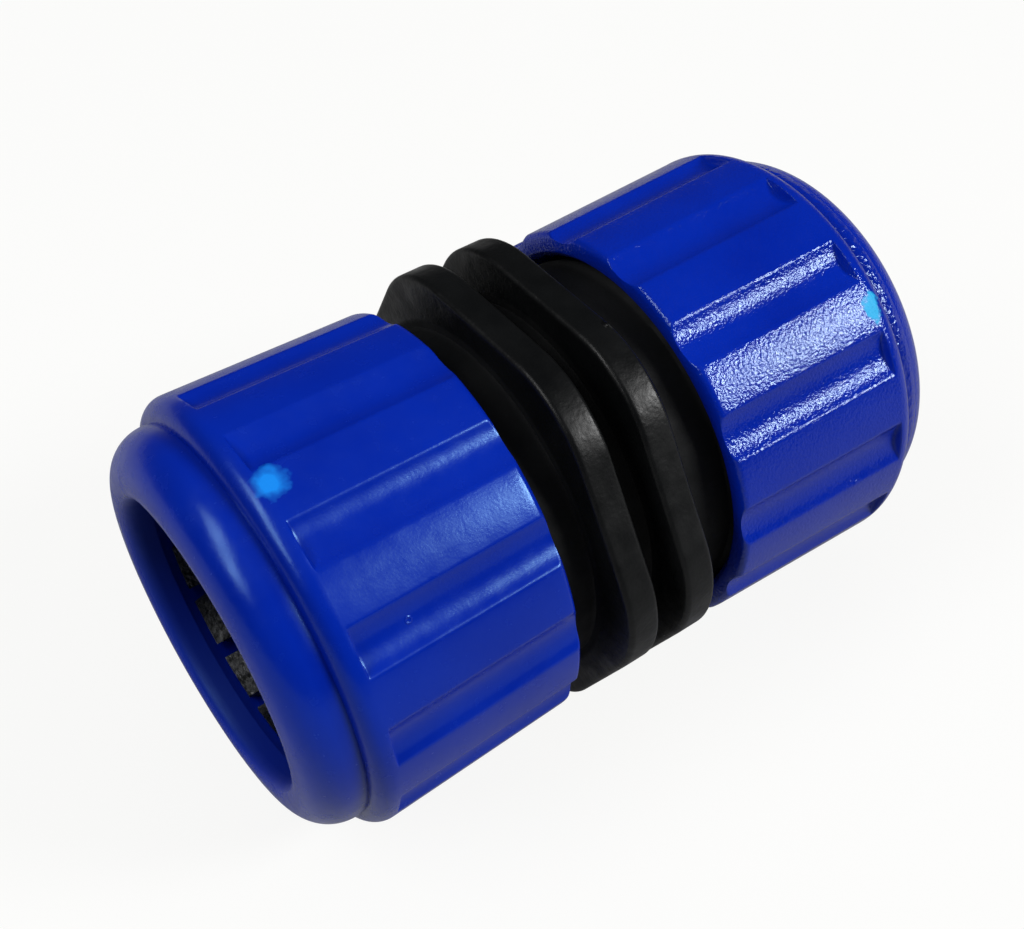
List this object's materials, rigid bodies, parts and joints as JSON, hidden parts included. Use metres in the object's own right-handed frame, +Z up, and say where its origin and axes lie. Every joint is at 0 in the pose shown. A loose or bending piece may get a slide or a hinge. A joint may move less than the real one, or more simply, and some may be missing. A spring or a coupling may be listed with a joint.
{
  "type": "hose mender",
  "caption": "Straight garden hose mender: barbed spigots inside, hexagon flanges in the middle, fluted screw nuts with rounded mouths and split grip rings.",
  "frame": {"origin": "middle of the waterway, half way between the two mouths", "axes": "+X along the waterway towards the right nut, +Z up out of a hexagon flat, +Y across"},
  "size_m": [0.067, 0.042, 0.04],
  "materials": {
    "body_black": "satin moulded black",
    "nut_blue": "glossy moulded blue",
    "claw_grey": "dull moulded grey"
  },
  "bodies": {
    "mender_body": {"body": "body_black"},
    "left_grip": {"left_collet": "claw_grey"},
    "left_cap": {"left_nut": "nut_blue"},
    "right_grip": {"right_collet": "claw_grey"},
    "right_cap": {"right_nut": "nut_blue"}
  },
  "joints": [
    {"name": "left_nut_travel", "type": "slide", "parent": "mender_body", "child": "left_grip", "axis": [-1, 0, 0], "range_m": [-0.00371, 0.00501]},
    {"name": "left_nut_turn", "type": "hinge", "parent": "left_grip", "child": "left_cap", "pos_m": [-0.02, 0, 0], "axis": [-1, 0, 0], "range_deg": [-444, 600]},
    {"name": "right_nut_travel", "type": "slide", "parent": "mender_body", "child": "right_grip", "axis": [1, 0, 0], "range_m": [-0.00471, 0.00401]},
    {"name": "right_nut_turn", "type": "hinge", "parent": "right_grip", "child": "right_cap", "pos_m": [0.02, 0, 0], "axis": [1, 0, 0], "range_deg": [-564, 480]}
  ],
  "couplings": [
    {"joint": "left_nut_travel", "follows": "left_nut_turn", "m_per_rad": 0.00047746},
    {"joint": "right_nut_travel", "follows": "right_nut_turn", "m_per_rad": 0.00047746}
  ]
}
